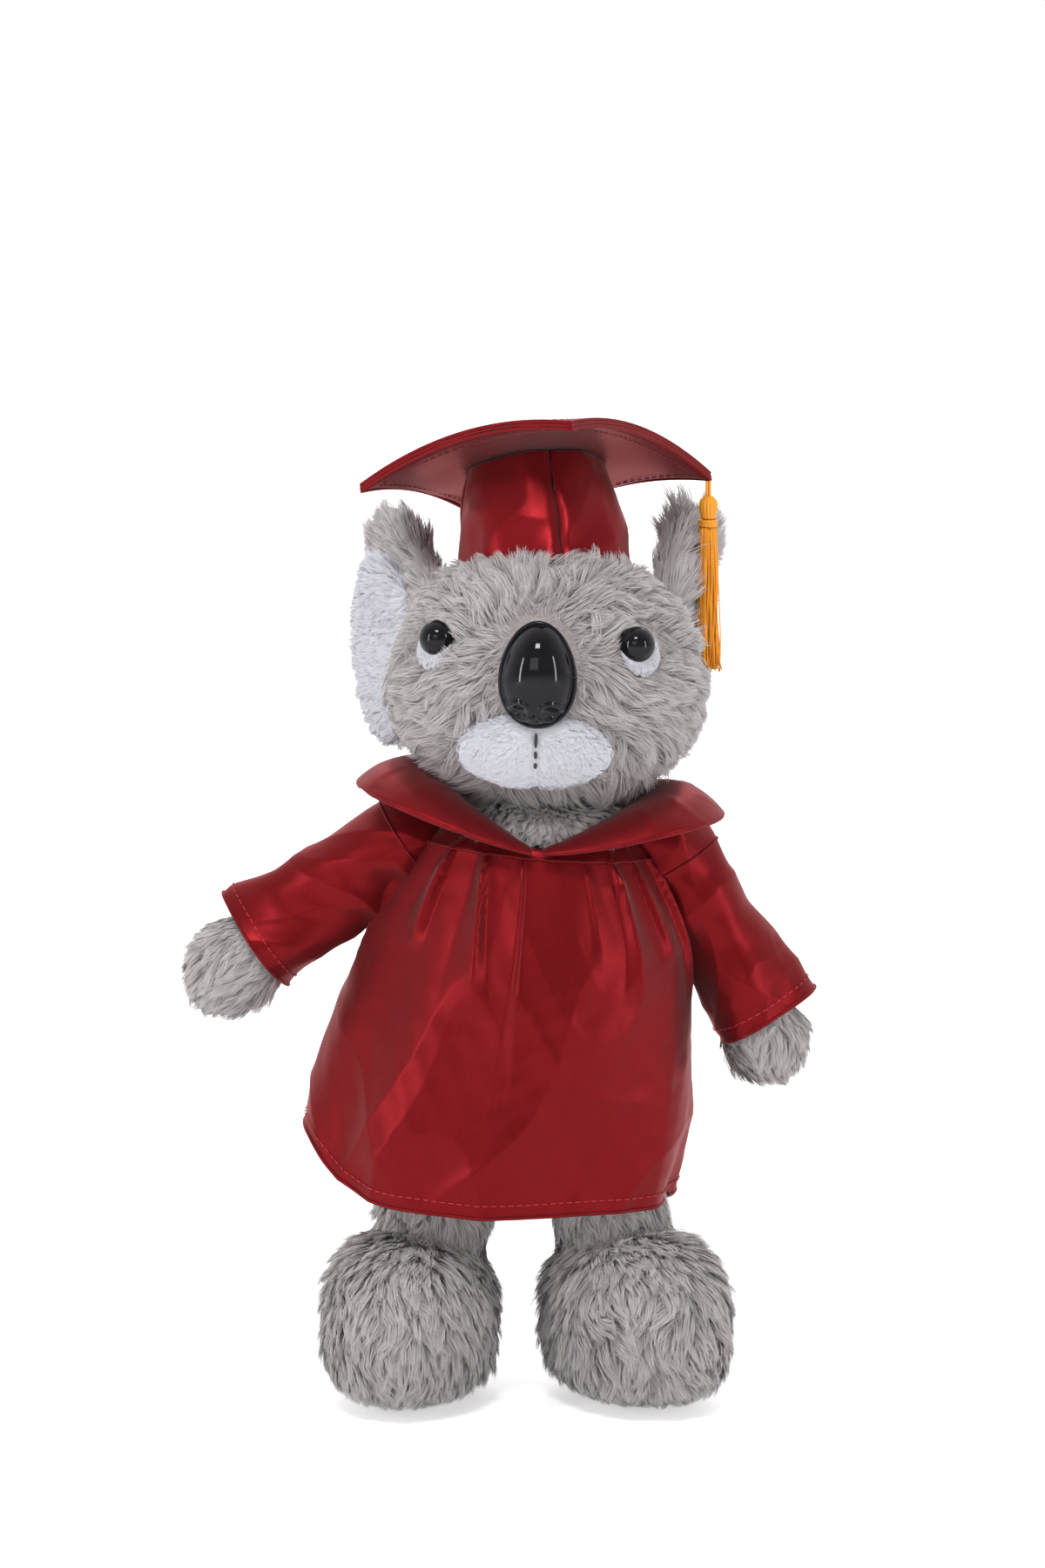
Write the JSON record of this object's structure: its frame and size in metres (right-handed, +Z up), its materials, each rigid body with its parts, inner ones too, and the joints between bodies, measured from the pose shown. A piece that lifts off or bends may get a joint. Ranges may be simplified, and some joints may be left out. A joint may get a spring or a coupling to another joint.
{
  "type": "plush koala",
  "caption": "Standing grey plush koala with a moulded nose and eyes, in a dark red satin graduation gown with a wide collar and a square cap with a yellow tassel.",
  "frame": {"origin": "centre of the footprint of the bounding box, on the surface that the feet stand on", "axes": "+Z up, the toy faces -Y, +X is the toy's left side"},
  "size_m": [0.2118, 0.1386, 0.3419],
  "materials": {
    "fur": "long warm grey plush pile, lighter at the tips",
    "fleece": "short white fleece",
    "satin": "glossy dark red polyester satin",
    "stuffing": "loose white polyester fibre",
    "black_plastic": "glossy moulded black",
    "washer_plastic": "plain natural plastic lock washer",
    "black_thread": "black embroidery thread",
    "grey_thread": "grey sewing thread",
    "tape": "woven hook and loop tape",
    "card": "plain grey board",
    "yarn": "bright yellow orange rayon yarn"
  },
  "bodies": {
    "torso": {"torso_skin": "fur", "torso_stuffing": "stuffing", "gown_yoke_front": "satin", "gown_yoke_back_left": "satin", "gown_yoke_back_right": "satin", "gown_skirt": "satin", "collar": "satin", "closure_hook_tape": "tape", "closure_loop_tape": "tape"},
    "neck": {"neck_seam_thread": "grey_thread"},
    "head": {"head_skin": "fur", "head_stuffing": "stuffing", "muzzle_patch": "fleece", "nose": "black_plastic", "nose_washer": "washer_plastic", "eye_left": "black_plastic", "eye_right": "black_plastic", "eye_washer_left": "washer_plastic", "eye_washer_right": "washer_plastic", "eye_patch_left": "fleece", "eye_patch_right": "fleece", "mouth_stitch_1": "black_thread", "mouth_stitch_2": "black_thread", "mouth_stitch_3": "black_thread"},
    "ear_left": {"ear_left": "fur", "ear_lining_left": "fleece"},
    "ear_right": {"ear_right": "fur", "ear_lining_right": "fleece"},
    "cap": {"crown_panel_1": "satin", "crown_panel_2": "satin", "crown_panel_3": "satin", "crown_panel_4": "satin", "board_cover_bottom": "satin", "board_stiffener": "card", "board_cover_top": "satin"},
    "tassel": {"tassel_loop": "yarn", "tassel_head": "yarn", "tassel_binding": "yarn", "tassel_skirt": "yarn"},
    "arm_left": {"arm_skin_left": "fur", "arm_stuffing_left": "stuffing", "sleeve_left": "satin"},
    "arm_right": {"arm_skin_right": "fur", "arm_stuffing_right": "stuffing", "sleeve_right": "satin"},
    "leg_left": {"leg_skin_left": "fur", "leg_stuffing_left": "stuffing"},
    "leg_right": {"leg_skin_right": "fur", "leg_stuffing_right": "stuffing"}
  },
  "joints": [
    {"name": "neck_turn", "type": "hinge", "parent": "torso", "child": "neck", "pos_m": [0.01622, -0.01126, 0.208], "axis": [0, 0, 1], "range_deg": [-30, 30], "stiffness_Nm_per_rad": 0.5, "deforming": ["collar"]},
    {"name": "head_nod", "type": "hinge", "parent": "neck", "child": "head", "pos_m": [0.01622, -0.01126, 0.208], "axis": [0.9973, -0.0732, 0], "range_deg": [-8, 10], "stiffness_Nm_per_rad": 1},
    {"name": "ear_left_fold", "type": "hinge", "parent": "head", "child": "ear_left", "pos_m": [0.05699, 0.01683, 0.2602], "axis": [0.073, -0.0054, 0.9973], "range_deg": [-2, 8], "stiffness_Nm_per_rad": 0.05},
    {"name": "ear_right_fold", "type": "hinge", "parent": "head", "child": "ear_right", "pos_m": [-0.0178, 0.02232, 0.26177], "axis": [-0.0313, 0.0023, 0.9995], "range_deg": [-18, 18], "stiffness_Nm_per_rad": 0.05},
    {"name": "cap_lift", "type": "slide", "parent": "head", "child": "cap", "axis": [0, 0, 1], "range_m": [0, 0.06]},
    {"name": "tassel_swing", "type": "hinge", "parent": "cap", "child": "tassel", "pos_m": [0.07345, 0.02353, 0.31457], "axis": [0.2368, -0.9715, 0], "range_deg": [0, 60]},
    {"name": "shoulder_left", "type": "hinge", "parent": "torso", "child": "arm_left", "pos_m": [0.05672, -0.01126, 0.196], "axis": [0, -1, 0], "range_deg": [-1, 85], "stiffness_Nm_per_rad": 0.2, "deforming": ["sleeve_left"]},
    {"name": "shoulder_right", "type": "hinge", "parent": "torso", "child": "arm_right", "pos_m": [-0.02928, -0.01126, 0.196], "axis": [0, 1, 0], "range_deg": [-6, 60], "stiffness_Nm_per_rad": 0.2, "deforming": ["sleeve_right"]},
    {"name": "hip_left", "type": "hinge", "parent": "torso", "child": "leg_left", "pos_m": [0.03372, -0.01126, 0.088], "axis": [-1, 0, 0], "range_deg": [-15, 14], "stiffness_Nm_per_rad": 2},
    {"name": "hip_right", "type": "hinge", "parent": "torso", "child": "leg_right", "pos_m": [-0.01628, -0.01126, 0.088], "axis": [-1, 0, 0], "range_deg": [-15, 16], "stiffness_Nm_per_rad": 2}
  ]
}
